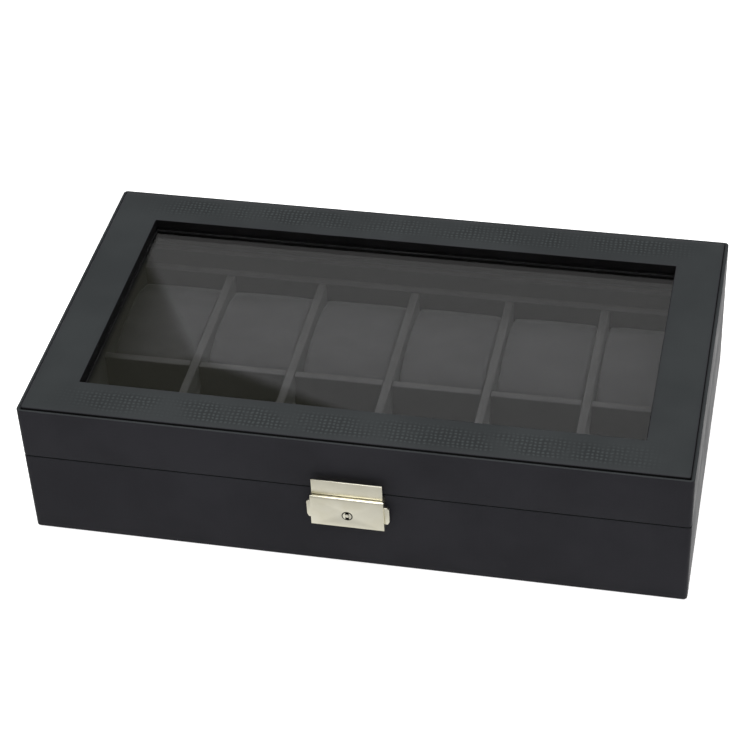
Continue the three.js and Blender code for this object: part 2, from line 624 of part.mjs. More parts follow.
// The strike's face stands off the lid on a mount; two legs with inward feet drop into the case
// behind its lip.
function addStrike() {
  const { halfWidth, thick, top } = STRIKE;
  const legBack = LEG_FRONT + thick;
  const legTop = LOCK.top - LEG.below;
  const face = block([-halfWidth, STRIKE_FRONT, STRIKE_BOTTOM], [halfWidth, STRIKE_FRONT + thick, top]);
  const mount = block(
    [-MOUNT.halfWidth, STRIKE_FRONT + thick / 2, STRIKE_BOTTOM],
    [MOUNT.halfWidth, FRONT - GAP, MOUNT.top],
  );
  const legs = SIDES.map(([, side]) => {
    const along = (a, b) => (side > 0 ? [a, b] : [-b, -a]);
    const [l0, l1] = along(LEG.inner, LEG.outer);
    const [f0, f1] = along(LEG.foot, LEG.outer);
    const leg = block([l0, LEG_FRONT, LEG.footLow], [l1, legBack, legTop + CUT]);
    const foot = block([f0, LEG_FRONT, LEG.footLow], [f1, legBack, LEG.footHigh]);
    return join(leg, foot);
  });
  const tongue = block([-LEG.outer, LEG_FRONT, legTop], [LEG.outer, legBack, STRIKE_BOTTOM + CUT]);
  const pins = prongs(STRIKE_PRONG_Z, FRONT - GAP - CUT);
  add("strike_plate", join(face, mount, tongue, ...legs, ...pins), nickel);
}

addBase();
addTray();
addCushions();
addLidSides();
addLidTop();
addHinges();
addLockCase();
addLatches();
addKeyBarrel();
addStrike();

export default root;
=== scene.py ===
"""The looks of a leatherette watch box with a glass-topped lid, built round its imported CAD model."""

import json
import math

import bmesh
import bpy
import numpy as np
from mathutils import Matrix, Vector, noise
from mathutils.bvhtree import BVHTree

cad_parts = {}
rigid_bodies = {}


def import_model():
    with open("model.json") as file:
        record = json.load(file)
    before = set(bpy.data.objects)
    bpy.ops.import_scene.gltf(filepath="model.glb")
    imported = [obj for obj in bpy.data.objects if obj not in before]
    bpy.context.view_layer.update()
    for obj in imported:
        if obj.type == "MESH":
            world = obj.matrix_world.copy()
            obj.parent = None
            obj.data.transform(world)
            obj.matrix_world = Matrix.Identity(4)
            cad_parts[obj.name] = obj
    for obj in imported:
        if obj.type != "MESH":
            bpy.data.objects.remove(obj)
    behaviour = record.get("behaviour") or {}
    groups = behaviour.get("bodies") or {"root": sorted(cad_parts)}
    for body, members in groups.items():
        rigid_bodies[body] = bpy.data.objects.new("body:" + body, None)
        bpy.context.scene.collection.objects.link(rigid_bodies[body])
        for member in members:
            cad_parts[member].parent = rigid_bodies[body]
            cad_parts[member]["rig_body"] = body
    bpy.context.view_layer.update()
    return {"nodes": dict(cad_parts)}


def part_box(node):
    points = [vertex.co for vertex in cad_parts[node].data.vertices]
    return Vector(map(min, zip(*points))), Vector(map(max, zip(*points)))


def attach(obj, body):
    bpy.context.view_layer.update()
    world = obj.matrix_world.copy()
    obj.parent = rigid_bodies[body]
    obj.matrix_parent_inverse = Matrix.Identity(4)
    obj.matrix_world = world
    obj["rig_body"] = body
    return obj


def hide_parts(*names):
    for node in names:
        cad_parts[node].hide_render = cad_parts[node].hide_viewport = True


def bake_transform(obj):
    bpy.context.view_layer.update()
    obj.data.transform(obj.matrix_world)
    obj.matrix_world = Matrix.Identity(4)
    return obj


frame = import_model()
NODES = frame["nodes"]
MM = 0.001
RANGE_SOCKETS = ("From Min", "From Max", "To Min", "To Max")
NICKEL = ((0.80, 0.765, 0.62), (0.86, 0.83, 0.70))

# ---- shader building ----------------------------------------------------------------------------
class Paint:
    """A node material under construction. Coordinates are the object's own, which are the part's."""

    def __init__(self, name, **sockets):
        self.material = bpy.data.materials.new(name)
        self.material.use_nodes = True
        self.tree = self.material.node_tree
        self.tree.nodes.clear()
        self.output = self.node("ShaderNodeOutputMaterial")
        self.shader = self.node("ShaderNodeBsdfPrincipled")
        for key, value in sockets.items():
            self.shader.inputs[key.replace("_", " ")].default_value = value
        self.link(self.shader.outputs[0], self.output.inputs["Surface"])
        self.coords = self.node("ShaderNodeTexCoord")

    def node(self, kind, **settings):
        made = self.tree.nodes.new(kind)
        for key, value in settings.items():
            setattr(made, key, value)
        return made

    def link(self, source, target):
        self.tree.links.new(source, target)

    def feed(self, target, value):
        if isinstance(value, bpy.types.NodeSocket):
            self.link(value, target)
        else:
            target.default_value = value

    def math(self, operation, a, b=0.0, c=0.0):
        made = self.node("ShaderNodeMath", operation=operation)
        for target, value in zip(made.inputs, (a, b, c)):
            self.feed(target, value)
        return made.outputs[0]

    def noise(self, size, detail=3.0, roughness=0.55, stretch=(1, 1, 1), offset=(0, 0, 0)):
        """Noise from 0 to 1 whose features are about size metres across."""
        mapping = self.node("ShaderNodeMapping")
        mapping.inputs["Scale"].default_value = stretch
        mapping.inputs["Location"].default_value = offset
        self.link(self.coords.outputs["Object"], mapping.inputs["Vector"])
        made = self.node("ShaderNodeTexNoise")
        made.inputs["Scale"].default_value = 1 / size
        made.inputs["Detail"].default_value = detail
        made.inputs["Roughness"].default_value = roughness
        self.link(mapping.outputs[0], made.inputs["Vector"])
        return made.outputs[0]

    def span(self, value, low, high, to_low=0.0, to_high=1.0):
        """value, as it goes from low to high, mapped smoothly from to_low to to_high."""
        made = self.node("ShaderNodeMapRange", interpolation_type="SMOOTHSTEP")
        self.feed(made.inputs["Value"], value)
        for key, number in zip(RANGE_SOCKETS, (low, high, to_low, to_high)):
            made.inputs[key].default_value = number
        return made.outputs[0]

    def tint(self, amount, a, b):
        """Colour a where amount is 0 and b where it is 1. Either may be a socket."""
        made = self.node("ShaderNodeMix", data_type="RGBA")
        self.feed(made.inputs["Factor"], amount)
        for target, colour in ((made.inputs[6], a), (made.inputs[7], b)):
            self.feed(target, colour if isinstance(colour, bpy.types.NodeSocket) else (*colour, 1))
        return made.outputs[2]

    def colour(self, value):
        self.feed(self.shader.inputs["Base Color"], value)

    def roughness(self, value):
        self.feed(self.shader.inputs["Roughness"], value)

    def bump(self, height, strength, distance):
        made = self.node("ShaderNodeBump")
        made.inputs["Strength"].default_value = strength
        made.inputs["Distance"].default_value = distance
        self.feed(made.inputs["Height"], height)
        self.link(made.outputs[0], self.shader.inputs["Normal"])

    def facing(self, power=4):
        """How much the surface faces X, Y and Z, as three sockets."""
        split = self.node("ShaderNodeSeparateXYZ")
        self.link(self.coords.outputs["Normal"], split.inputs[0])
        return [self.math("POWER", self.math("ABSOLUTE", split.outputs[i]), power) for i in range(3)]

    def waves(self, pitch, phase):
        """Sines along X, Y and Z with a pitch in metres, shifted by phase, which may be a socket."""
        split = self.node("ShaderNodeSeparateXYZ")
        self.link(self.coords.outputs["Object"], split.inputs[0])
        turn = 2 * math.pi / pitch
        angles = [self.math("MULTIPLY_ADD", split.outputs[i], turn, phase) for i in range(3)]
        return [self.math("SINE", angle) for angle in angles]

    def place_along(self, axis):
        """How far from the part's middle plane a point is, along axis 0, 1 or 2."""
        split = self.node("ShaderNodeSeparateXYZ")
        self.link(self.coords.outputs["Object"], split.inputs[0])
        return self.math("ABSOLUTE", split.outputs[axis])

    def dots(self, pitch):
        """Uneven rows of round dots, from 0 to 1, on whichever way the surface faces."""
        facing = self.facing()
        wander = self.span(self.noise(2.0 * pitch, 2), 0.3, 0.7, -0.9, 0.9)
        lifted = [self.math("MULTIPLY_ADD", wave, 0.5, 0.5) for wave in self.waves(pitch, wander)]
        total = 0.0
        for axis, (a, b) in enumerate(((1, 2), (0, 2), (0, 1))):
            here = self.math("MULTIPLY", lifted[a], lifted[b])
            total = self.math("ADD", total, self.math("MULTIPLY", facing[axis], here))
        return total


def leatherette_paint():
    """Embossed leatherette: rows of dots, pressed deepest along the front and back of the lid's top."""
    p = Paint("leatherette", Specular_IOR_Level=0.06, Coat_Weight=0.0)
    cloud = p.noise(0.05, 3)
    grain = p.noise(0.0008, 3, 0.6)
    scuff = p.span(p.noise(0.008, 6, 0.7), 0.62, 0.78)
    on_top = p.facing(8)[2]
    across = p.place_along(1)
    middle = p.math("MULTIPLY", p.span(across, 0.073, 0.079), p.span(across, 0.092, 0.087))
    along_border = p.math("MULTIPLY", middle, p.span(p.place_along(0), 0.160, 0.120))
    # The embossing wears smooth in patches.
    worn = p.span(p.noise(0.020, 3, offset=(5, 2, 9)), 0.32, 0.66, 0.10, 1.0)
    pressed = p.math("MULTIPLY", worn, p.math("MULTIPLY", on_top, along_border))
    depth = p.math("MULTIPLY_ADD", pressed, 0.92, 0.08)
    dots = p.dots(2.3 * MM)
    cells = p.math("MULTIPLY", p.math("SUBTRACT", dots, 0.25), depth)
    base = p.tint(p.span(cloud, 0.3, 0.7), (0.0220, 0.0217, 0.0258), (0.0270, 0.0266, 0.0316))
    # Painted light: the padded top is tinted paler than the sides, standing in for the brighter light it
    # gets from above.
    painted_top_light = p.tint(p.span(cloud, 0.3, 0.7), (0.0285, 0.0315, 0.0330), (0.0345, 0.0380, 0.0396))
    base = p.tint(on_top, base, painted_top_light)
    # Painted light: the raised dots are tinted paler as a painted highlight, and the pits between them
    # darker as painted shade.
    base = p.tint(p.span(cells, 0.0, 0.6, 0.0, 0.36), base, (0.076, 0.088, 0.090))
    base = p.tint(p.span(cells, 0.0, -0.22, 0.0, 0.30), base, (0.006, 0.007, 0.007))
    p.colour(p.tint(p.math("MULTIPLY", scuff, 0.25), base, (0.037, 0.040, 0.043)))
    rough = p.span(p.noise(0.02, 4), 0.3, 0.7, 0.46, 0.54)
    rough = p.math("ADD", rough, p.math("MULTIPLY", cells, -0.08))
    p.roughness(p.math("ADD", rough, p.math("MULTIPLY", scuff, -0.04)))
    height = p.math("ADD", p.math("MULTIPLY", cells, 2.2), p.math("MULTIPLY", grain, 0.5))
    height = p.math("ADD", height, p.math("MULTIPLY", p.noise(0.03, 2), 1.6))
    p.bump(height, 0.5, 0.00008)
    return p.material


def shade_film_paint():
    """Painted shade: flat near-black leatherette for the pad's cut sides, beside the rim and round the
    window, standing in for the shade those sides lie in.
    """
    p = Paint("leatherette_painted_shade", Specular_IOR_Level=0.06)
    cloud = p.noise(0.02, 3)
    p.colour(p.tint(p.span(cloud, 0.3, 0.7), (0.0030, 0.0030, 0.0032), (0.0060, 0.0060, 0.0064)))
    p.roughness(p.span(cloud, 0.3, 0.7, 0.70, 0.82))
    p.bump(p.noise(0.0008, 3, 0.6), 0.3, 0.00006)
    return p.material


def velvet_paint(name, dark, light, sheen, upright):
    """Short-pile velvet with a brushed nap, and painted shade on faces that stand up straight."""
    p = Paint(name, Sheen_Weight=sheen, Sheen_Roughness=0.45, Specular_IOR_Level=0.10)
    p.shader.inputs["Sheen Tint"].default_value = (0.78, 0.80, 0.80, 1)
    nap = p.noise(0.016, 3, 0.5, stretch=(1, 1.7, 1))
    pile = p.noise(0.0003, 2, 0.6)
    shade = p.tint(p.span(nap, 0.3, 0.72), dark, light)
    # Painted shade: faces that stand up straight are tinted towards black, standing in for the light from
    # above that hardly reaches them.
    shade = p.tint(p.span(p.facing(1)[2], 0.15, 0.85, 1.0 - upright, 0.0), shade, (0, 0, 0))
    p.colour(p.tint(p.span(pile, 0.3, 0.7, 0.0, 0.14), shade, tuple(0.4 * c for c in dark)))
    p.roughness(p.span(nap, 0.3, 0.7, 0.88, 0.97))
    p.bump(p.math("ADD", pile, p.math("MULTIPLY", nap, 0.8)), 0.3, 0.00015)
    return p.material


def mdf_paint():
    p = Paint("mdf", Specular_IOR_Level=0.2)
    fibre = p.noise(0.0012, 5, 0.7, stretch=(0.5, 0.5, 1.6))
    fleck = p.span(p.noise(0.0035, 4, 0.75), 0.60, 0.72)
    base = p.tint(p.span(fibre, 0.3, 0.7), (0.20, 0.125, 0.068), (0.34, 0.235, 0.14))
    p.colour(p.tint(p.math("MULTIPLY", fleck, 0.5), base, (0.12, 0.07, 0.035)))
    p.roughness(p.span(fibre, 0.3, 0.7, 0.78, 0.92))
    p.bump(fibre, 0.4, 0.0002)
    return p.material


def felt_paint():
    p = Paint("felt", Sheen_Weight=0.35, Sheen_Roughness=0.6, Specular_IOR_Level=0.1)
    hair = p.noise(0.0011, 6, 0.75, stretch=(1, 0.35, 1))
    cross = p.noise(0.0010, 6, 0.75, stretch=(0.35, 1, 1), offset=(3, 7, 1))
    both = p.math("MULTIPLY", p.math("ADD", hair, cross), 0.5)
    p.colour(p.tint(p.span(both, 0.35, 0.65), (0.008, 0.008, 0.009), (0.035, 0.035, 0.037)))
    p.roughness(p.span(both, 0.3, 0.7, 0.9, 1.0))
    p.bump(both, 0.8, 0.0004)
    return p.material


def foam_paint():
    p = Paint("foam", Specular_IOR_Level=0.1)
    cells = p.node("ShaderNodeTexVoronoi")
    cells.inputs["Scale"].default_value = 1 / 0.0011
    p.link(p.coords.outputs["Object"], cells.inputs["Vector"])
    # Painted shade: the pores are tinted darker than the cell walls, for the shade inside the holes.
    pore = p.span(cells.outputs["Distance"], 0.1, 0.55)
    p.colour(p.tint(pore, (0.05, 0.052, 0.055), (0.15, 0.155, 0.16)))
    p.roughness(p.span(p.noise(0.01, 3), 0.3, 0.7, 0.85, 0.95))
    p.bump(pore, 0.7, 0.0004)
    return p.material


def metal_paint(name, low, high, rough_low, rough_high, brush=(1, 1, 1)):
    """Plated metal: a faint brushed grain, soft tarnish and a few specks."""
    p = Paint(name, Metallic=1.0)
    mottle = p.noise(0.011, 3, 0.5)
    lines = p.noise(0.0006, 3, 0.5, stretch=brush)
    base = p.tint(p.span(mottle, 0.30, 0.70), low, high)
    speck = p.span(p.noise(0.0014, 3, 0.8), 0.70, 0.78)
    p.colour(p.tint(p.math("MULTIPLY", speck, 0.25), base, tuple(0.7 * c for c in low)))
    rough = p.span(mottle, 0.3, 0.7, rough_low, rough_high)
    p.roughness(p.math("ADD", rough, p.math("MULTIPLY", lines, 0.05)))
    p.bump(p.math("ADD", lines, mottle), 0.10, 0.00003)
    return p.material


def barrel_paint():
    """The key barrel's nickel, with painted shade in a dark ring round its edge, for the shadowed gap round
    the barrel.
    """
    p = Paint("nickel_barrel", Metallic=1.0)
    lo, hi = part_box("key_barrel")
    radius = (hi.x - lo.x) / 2
    split = p.node("ShaderNodeSeparateXYZ")
    p.link(p.coords.outputs["Object"], split.inputs[0])
    rise = p.math("SUBTRACT", split.outputs["Z"], (lo.z + hi.z) / 2)
    rise_squared = p.math("MULTIPLY", rise, rise)
    square = p.math("MULTIPLY_ADD", split.outputs["X"], split.outputs["X"], rise_squared)
    # Painted shade: a near-black ring at the barrel's rim.
    ring = p.span(p.math("SQRT", square), radius - 0.50 * MM, radius - 0.34 * MM)
    mottle = p.noise(0.011, 3, 0.5)
    plate = p.tint(p.span(mottle, 0.30, 0.70), *NICKEL)
    p.colour(p.tint(ring, plate, (0.030, 0.027, 0.022)))
    p.roughness(p.span(mottle, 0.3, 0.7, 0.26, 0.34))
    p.bump(mottle, 0.10, 0.00003)
    return p.material


def glass_paint():
    """Clear float glass, faintly clouded, which lets lamps light what is under it."""
    p = Paint("glass", Transmission_Weight=1.0, IOR=1.5, Roughness=0.0)
    p.colour(p.tint(p.span(p.noise(0.06, 2), 0.3, 0.7), (0.945, 0.948, 0.952), (0.962, 0.964, 0.967)))
    clear = p.node("ShaderNodeBsdfTransparent")
    clear.inputs["Color"].default_value = (0.875, 0.877, 0.882, 1)
    path = p.node("ShaderNodeLightPath")
    mix = p.node("ShaderNodeMixShader")
    p.link(path.outputs["Is Shadow Ray"], mix.inputs[0])
    p.link(p.shader.outputs[0], mix.inputs[1])
    p.link(clear.outputs[0], mix.inputs[2])
    p.link(mix.outputs[0], p.output.inputs["Surface"])
    return p.material


PAINTS = {
    "leatherette": leatherette_paint(),
    "edge": shade_film_paint(),
    "velvet": velvet_paint("velvet", (0.030, 0.030, 0.030), (0.040, 0.040, 0.040), 0.10, 0.22),
    "cushion_velvet": velvet_paint(
        "cushion_velvet", (0.024, 0.024, 0.025), (0.033, 0.033, 0.034), 0.12, 0.35
    ),
    "mdf": mdf_paint(),
    "felt": felt_paint(),
    "foam": foam_paint(),
    "nickel": metal_paint("nickel", *NICKEL, 0.26, 0.34, (0.15, 1, 1)),
    "steel": metal_paint("steel", (0.50, 0.50, 0.51), (0.64, 0.64, 0.64), 0.24, 0.36, (0.2, 1, 1)),
    "barrel": barrel_paint(),
    # Painted shade for the key slot: near-black metal.
    "keyway_shade": metal_paint("keyway_shade", (0.012, 0.011, 0.009), (0.030, 0.027, 0.022), 0.55, 0.70),
    "glass": glass_paint(),
}


# ---- mesh helpers -------------------------------------------------------------------------------
def paint(piece, slot):
    piece.data.materials.clear()
    piece.data.materials.append(PAINTS[slot])


def body_of(node):
    return NODES[node]["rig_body"]


def place(name, mesh, slot, node, smooth_angle=35, rides=True):
    """A new piece with this mesh that stands for the node. Unless rides is false, it rides on the node's
    body.
    """
    piece = bpy.data.objects.new(name, mesh)
    bpy.context.scene.collection.objects.link(piece)
    smooth(mesh, smooth_angle)
    paint(piece, slot)
    if rides:
        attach(piece, body_of(node))
    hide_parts(node)
    return piece


def smooth(mesh, angle):
    """Smooth shading, with edges sharper than angle degrees kept crisp."""
    mesh.shade_smooth()
    mesh.set_sharp_from_angle(angle=math.radians(angle))


def mesh_of(name, points, faces):
    mesh = bpy.data.meshes.new(name)
    mesh.from_pydata([tuple(p) for p in points], [], faces)
    mesh.update()
    return mesh


def closed_mesh(name, points, faces):
    """A mesh of these faces with all of them turned outwards."""
    mesh = mesh_of(name, points, faces)
    bm = bmesh.new()
    bm.from_mesh(mesh)
    bmesh.ops.recalc_face_normals(bm, faces=bm.faces)
    bm.to_mesh(mesh)
    bm.free()
    return mesh


def band(i, j, count):
    """The faces between loops i and j of a mesh whose loops have count points each."""
    return [
        (i * count + k, i * count + (k + 1) % count, j * count + (k + 1) % count, j * count + k)
        for k in range(count)
    ]


def with_modifiers(mesh, add):
    """The mesh after the modifiers that add(object) puts on it."""
    temp = bpy.data.objects.new("temp", mesh)
    bpy.context.scene.collection.objects.link(temp)
    add(temp)
    bpy.context.view_layer.update()
    graph = bpy.context.evaluated_depsgraph_get()
    made = bpy.data.meshes.new_from_object(temp.evaluated_get(graph))
    bpy.data.objects.remove(temp)
    return made


def refined(node, name, slot, bevel, segments=2, smooth_angle=35):
    """A copy of the CAD solid with its facets joined and its edges rounded."""
    bm = bmesh.new()
    bm.from_mesh(NODES[node].data)
    bmesh.ops.remove_doubles(bm, verts=bm.verts, dist=1e-6)
    bmesh.ops.dissolve_limit(bm, angle_limit=math.radians(0.5), verts=bm.verts, edges=bm.edges)
    mesh = bpy.data.meshes.new(name)
    bm.to_mesh(mesh)
    bm.free()

    def add(temp):
        mod = temp.modifiers.new("bevel", "BEVEL")
        mod.width = bevel
        mod.segments = segments
        mod.limit_method = "ANGLE"
        mod.angle_limit = math.radians(32)
        mod.use_clamp_overlap = True

    made = with_modifiers(mesh, add)
    made.name = name
    return place(name, made, slot, node, smooth_angle=smooth_angle)


def rect_loop(hx, hy, r, z, arc, along):
    """Points anticlockwise round a rounded rectangle, with arc + 1 at each corner and along on the sides."""
    points = []
    corners = ((hx, -hy, -90), (hx, hy, 0), (-hx, hy, 90), (-hx, -hy, 180))
    ends = []
    for cx, cy, start in corners:
        ox, oy = cx - math.copysign(r, cx), cy - math.copysign(r, cy)
        ends.append([(x, y, z) for x, y in arc_points(ox, oy, r, start, start + 90, arc)])
    for i, corner in enumerate(ends):
        points += corner
        a, b = Vector(corner[-1]), Vector(ends[(i + 1) % 4][0])
        count = along[(i + 1) % 2]
        points += [a.lerp(b, k / (count + 1)) for k in range(1, count + 1)]
    return [tuple(p) for p in points]


def swept_ring(name, profile, half, corner, arc=6, along=(60, 34), inner_corner=None):
    """A closed ring round the case whose section is profile, a loop of (inset, height) in millimetres."""
    loops = []
    for inset, z in profile:
        r = max(corner - inset, 0.15)
        if inner_corner is not None:
            r = max(r, inner_corner)
        loops.append(rect_loop(half[0] - inset * MM, half[1] - inset * MM, r * MM, z * MM, arc, along))
    count = len(loops[0])
    points = [p for loop in loops for p in loop]
    faces = [face for i in range(len(loops)) for face in band(i, (i + 1) % len(loops), count)]
    return closed_mesh(name, points, faces)


def arc_points(cx, cy, r, start, end, count):
    """count + 1 points on an arc in a plane, from start to end in degrees."""
    turns = [math.radians(start + (end - start) * k / count) for k in range(count + 1)]
    return [(cx + r * math.cos(turn), cy + r * math.sin(turn)) for turn in turns]


BOX_FACES = [(0, 2, 3, 1), (4, 5, 7, 6), (0, 1, 5, 4), (2, 6, 7, 3), (0, 4, 6, 2), (1, 3, 7, 5)]


def notched(mesh, boxes):
    """The mesh with each (low, high) box cut out of it."""

    def add(temp):
        for i, (low, high) in enumerate(boxes):
            xs, ys, zs = zip(low, high)
            corners = [(x, y, z) for z in zs for y in ys for x in xs]
            cutter = bpy.data.objects.new(f"cut_{i}", mesh_of("cut", corners, BOX_FACES))
            bpy.context.scene.collection.objects.link(cutter)
            mod = temp.modifiers.new("cut", "BOOLEAN")
            mod.operation, mod.solver, mod.object = "DIFFERENCE", "EXACT", cutter

    made = with_modifiers(mesh, add)
    for o in [o for o in bpy.data.objects if o.name.startswith("cut_")]:
        bpy.data.objects.remove(o)
    return made


# ---- leatherette coverings ----------------------------------------------------------------------
low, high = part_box("base_leatherette")
HALF = (high.x, (high.y - low.y) / 2)
BASE_LOW, BASE_TOP = low.z / MM, high.z / MM
low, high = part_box("lid_leatherette")
LID_LOW, RIM_TOP = low.z / MM, high.z / MM
low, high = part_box("top_leatherette")
PAD_LOW, PAD_TOP = low.z / MM, high.z / MM
PAD_OUT = (HALF[0] - high.x) / MM
GLASS_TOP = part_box("glass_pane")[1].z / MM
SEAM_Z = (BASE_TOP + LID_LOW) / 2 * MM
CORNER = 2.2
WINDOW = 25.6  # the window's inset from the outside of the case
EDGE = 0.75  # how round the leatherette is where it turns over a board's edge
CRISP = 0.4  # how round it is along the base's top edge


def hinge_notches():
    """Room in a covering's back edge for the hinges' leaves."""
    gap, room = 0.3 * MM, 1.3 * MM
    boxes = []
    for side in ("left", "right"):
        lo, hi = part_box(f"hinge_{side}_base_leaf")
        boxes.append((
            (lo.x - gap, lo.y - gap, SEAM_Z - room),
            (hi.x + gap, HALF[1] + 2 * MM, SEAM_Z + room),
        ))
    return boxes


def base_wrap():
    top, bottom = BASE_TOP, BASE_LOW
    profile = [(12.0, bottom)] + arc_points(EDGE, bottom + EDGE, EDGE, 270, 180, 4)
    profile += arc_points(CRISP, top - CRISP, CRISP, 180, 90, 4)
    profile += [(8.0, top), (8.0, top - 1.0), (1.0, top - 1.0), (1.0, bottom + 1.0), (12.0, bottom + 1.0)]
    mesh = notched(swept_ring("base_wrap", profile, HALF, CORNER), hinge_notches())
    place("base_wrap", mesh, "leatherette", "base_leatherette", smooth_angle=40)


def lid_wrap():
    """The lid's side covering: in under the lid, up the side, over the rim and down beside the pad."""
    bottom, top = LID_LOW, RIM_TOP
    rim, ledge, lip, skin = 0.25, 1.35, PAD_OUT - 0.08, 0.17
    low, step = GLASS_TOP + 0.5, top - 0.75
    profile = [(7.9, bottom)] + arc_points(EDGE, bottom + EDGE, EDGE, 270, 180, 4)
    profile += arc_points(rim, top - rim, rim, 180, 90, 4)
    profile += arc_points(ledge - rim, top - rim, rim, 90, 0, 4)
    profile += [(ledge, step + skin), (lip, step + skin), (lip, low), (lip - skin, low)]
    profile += [(lip - skin, step), (0.7, step), (0.7, bottom + 0.7), (7.9, bottom + 0.7)]
    mesh = notched(swept_ring("lid_wrap", profile, HALF, CORNER), hinge_notches())
    place("lid_wrap", mesh, "leatherette", "lid_leatherette", smooth_angle=40)


def crowned(out, inn, low_z, top_z, r, crown, inner_r):
    """Half a section: up the outer side, over a crowned top and down the window's side."""
    edge_z = top_z - crown
    points = [(out, low_z)] + arc_points(out + r, edge_z - r, r, 180, 100, 5)
    left, right = out + r, inn - inner_r
    for k in range(1, 12):
        t = k / 12
        points.append((left + (right - left) * t, edge_z + crown * (1 - (2 * t - 1) ** 4)))
    return points + arc_points(inn - inner_r, edge_z - inner_r, inner_r, 80, 0, 5) + [(inn, low_z)]


def top_wrap():
    """The padded top: a crowned ring with soft edges, turned in under its board at the window."""
    thick, turned = 0.9, 6.0
    under = GLASS_TOP + 0.05
    outer = crowned(PAD_OUT, WINDOW, PAD_LOW, PAD_TOP, 1.2, 0.35, 0.6)[:-1]
    turn = [(WINDOW, under), (WINDOW - turned, under), (WINDOW - turned, PAD_LOW - 0.05)]
    inner = crowned(PAD_OUT + thick, WINDOW - thick, PAD_LOW, PAD_TOP - 0.95, 0.6, 0.25, 0.3)[:-1]
    inner.append((WINDOW - thick, PAD_LOW - 0.05))
    mesh = swept_ring("top_wrap", outer + turn + inner[::-1], HALF, CORNER + 1.0, inner_corner=0.5)
    ripple(mesh, 0.10 * MM, 0.045, PAD_TOP * MM - 4 * MM)
    piece = place("top_wrap", mesh, "leatherette", "top_leatherette", smooth_angle=50)
    # Painted shade: the pad's cut sides and its turned-in underside take the near-black edge paint.
    mesh.materials.append(PAINTS["edge"])
    for face in mesh.polygons:
        side = abs(face.normal.z) < 0.75 and face.center.z < (PAD_TOP - 0.55) * MM
        if side or face.center.z < (PAD_LOW + 0.2) * MM:
            face.material_index = 1


def top_foam():
    low_z, top_z = (c.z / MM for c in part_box("top_padding"))
    profile = crowned(PAD_OUT + 1.2, WINDOW - 1.2, low_z, top_z, 0.7, 0.25, 0.7)
    mesh = swept_ring("top_foam", profile, HALF, CORNER)
    place("top_foam", mesh, "foam", "top_padding")


def ripple(mesh, height, size, above):
    """Slight unevenness of a padded covering, above a height."""
    for v in mesh.vertices:
        if v.co.z > above:
            v.co.z += height * noise.noise(v.co / size) - height * 0.4
    mesh.update()


base_wrap()
lid_wrap()
top_wrap()
top_foam()


# ---- boards, linings and metal taken from the CAD ----------------------------------------------------
REFINED = [
    ("base_liner", "tray_lining", "velvet", 0.5, 3),
    ("floor_lining", "tray_floor", "velvet", 0.2, 1),
    ("long_divider", "divider_long", "velvet", 0.8, 3),
    ("lid_lining", "lid_lining_velvet", "velvet", 0.2, 2),
    ("glass_retainer", "window_lining", "velvet", 0.3, 2),
    ("glass_pane", "window_glass", "glass", 0.3, 1),
    ("bottom_felt", "underside_felt", "felt", 0.3, 2),
    ("lock_case", "lock_box", "nickel", 0.28, 3),
    ("strike_plate", "lock_strike", "nickel", 0.38, 3),
    ("latch_tab_left", "lock_tab_left", "nickel", 0.22, 2),
    ("latch_tab_right", "lock_tab_right", "nickel", 0.22, 2),
    ("key_barrel", "lock_barrel", "nickel", 0.12, 2),
    ("lock_back_plate", "lock_base_plate", "steel", 0.12, 2),
]
REFINED += [(f"cross_divider_{i}", f"divider_cross_{i}", "velvet", 0.8, 3) for i in range(1, 6)]
REFINED += [
    (f"hinge_{side}_{half}_leaf", f"hinge_{side}_{half}_plate", "steel", 0.1, 2)
    for side in ("left", "right")
    for half in ("base", "lid")
]
for node, name, slot, bevel, segments in REFINED:
    refined(node, name, slot, bevel * MM, segments)


def darken_keyway():
    """Painted shade: the walls and floor of the key slot take a near-black metal paint, for the shade deep
    in the slot.
    """
    barrel = bpy.data.objects["lock_barrel"]
    paint(barrel, "barrel")
    barrel.data.materials.append(PAINTS["keyway_shade"])
    lo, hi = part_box("key_barrel")
    axis_z = (lo.z + hi.z) / 2
    pin, wide, tall, deep = 1.0 * MM, 0.95 * MM, 2.45 * MM, 1.1 * MM
    for face in barrel.data.polygons:
        x, y, z = face.center
        z -= axis_z
        sunk = lo.y + 0.06 * MM < y < lo.y + deep
        if sunk and abs(x) < wide and abs(z) < tall and math.hypot(x, z) > pin:
            face.material_index = 1


darken_keyway()


def darken_glass_seat():
    """Painted shade: the retainer's top, where the glass lies, takes the same near-black paint as the
    window's edge, for the shade under the pad.
    """
    retainer = bpy.data.objects["window_lining"].data
    retainer.materials.append(PAINTS["edge"])
    for face in retainer.polygons:
        if face.normal.z > 0.7:
            face.material_index = 1


darken_glass_seat()


def latch_springs():
    """Coils between the lock's middle post and the tabs, put in as the CAD has them and carried by no body;
    in the lock they shorten as a tab is pressed.
    """
    for side, inner, outer in (("left", 1, 0), ("right", 0, 1)):
        node = f"latch_spring_{side}"
        spring = place(f"lock_spring_{side}", NODES[node].data.copy(), "steel", node, 60, rides=False)
        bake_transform(spring)


latch_springs()


# ---- cushions -----------------------------------------------------------------------------------
ROUNDNESS = 2.6  # of a cushion's section: 2 is an ellipse, and more is squarer
START_SIZE = (0.95, 0.94, 0.92)  # the pillow's size before it swells, as shares of its final size
VOXEL = 4 * MM
PRESSURE = 4
SWELL_FRAMES = 20
MOST_SWELL = 3 * MM  # how far a point may move
BULGE = 1.2 * MM  # how much further a cushion reaches on each side than its CAD solid
SEAM_TILT = 28  # where the seam round a side panel lies, in degrees from the upright section
SEAM_DEPTH = 0.75 * MM
FIRST_PILLOW_SEED, FIRST_SEAM_SEED = 11, 31


def stadium(t, half_y, half_z):
    """A point at turn t, from 0 to 1, round a section with round ends."""
    a = 2 * math.pi * t
    c, s = math.cos(a), math.sin(a)
    reach = (abs(c) ** ROUNDNESS + abs(s) ** ROUNDNESS) ** (-1 / ROUNDNESS)
    return half_y * reach * c, half_z * reach * s


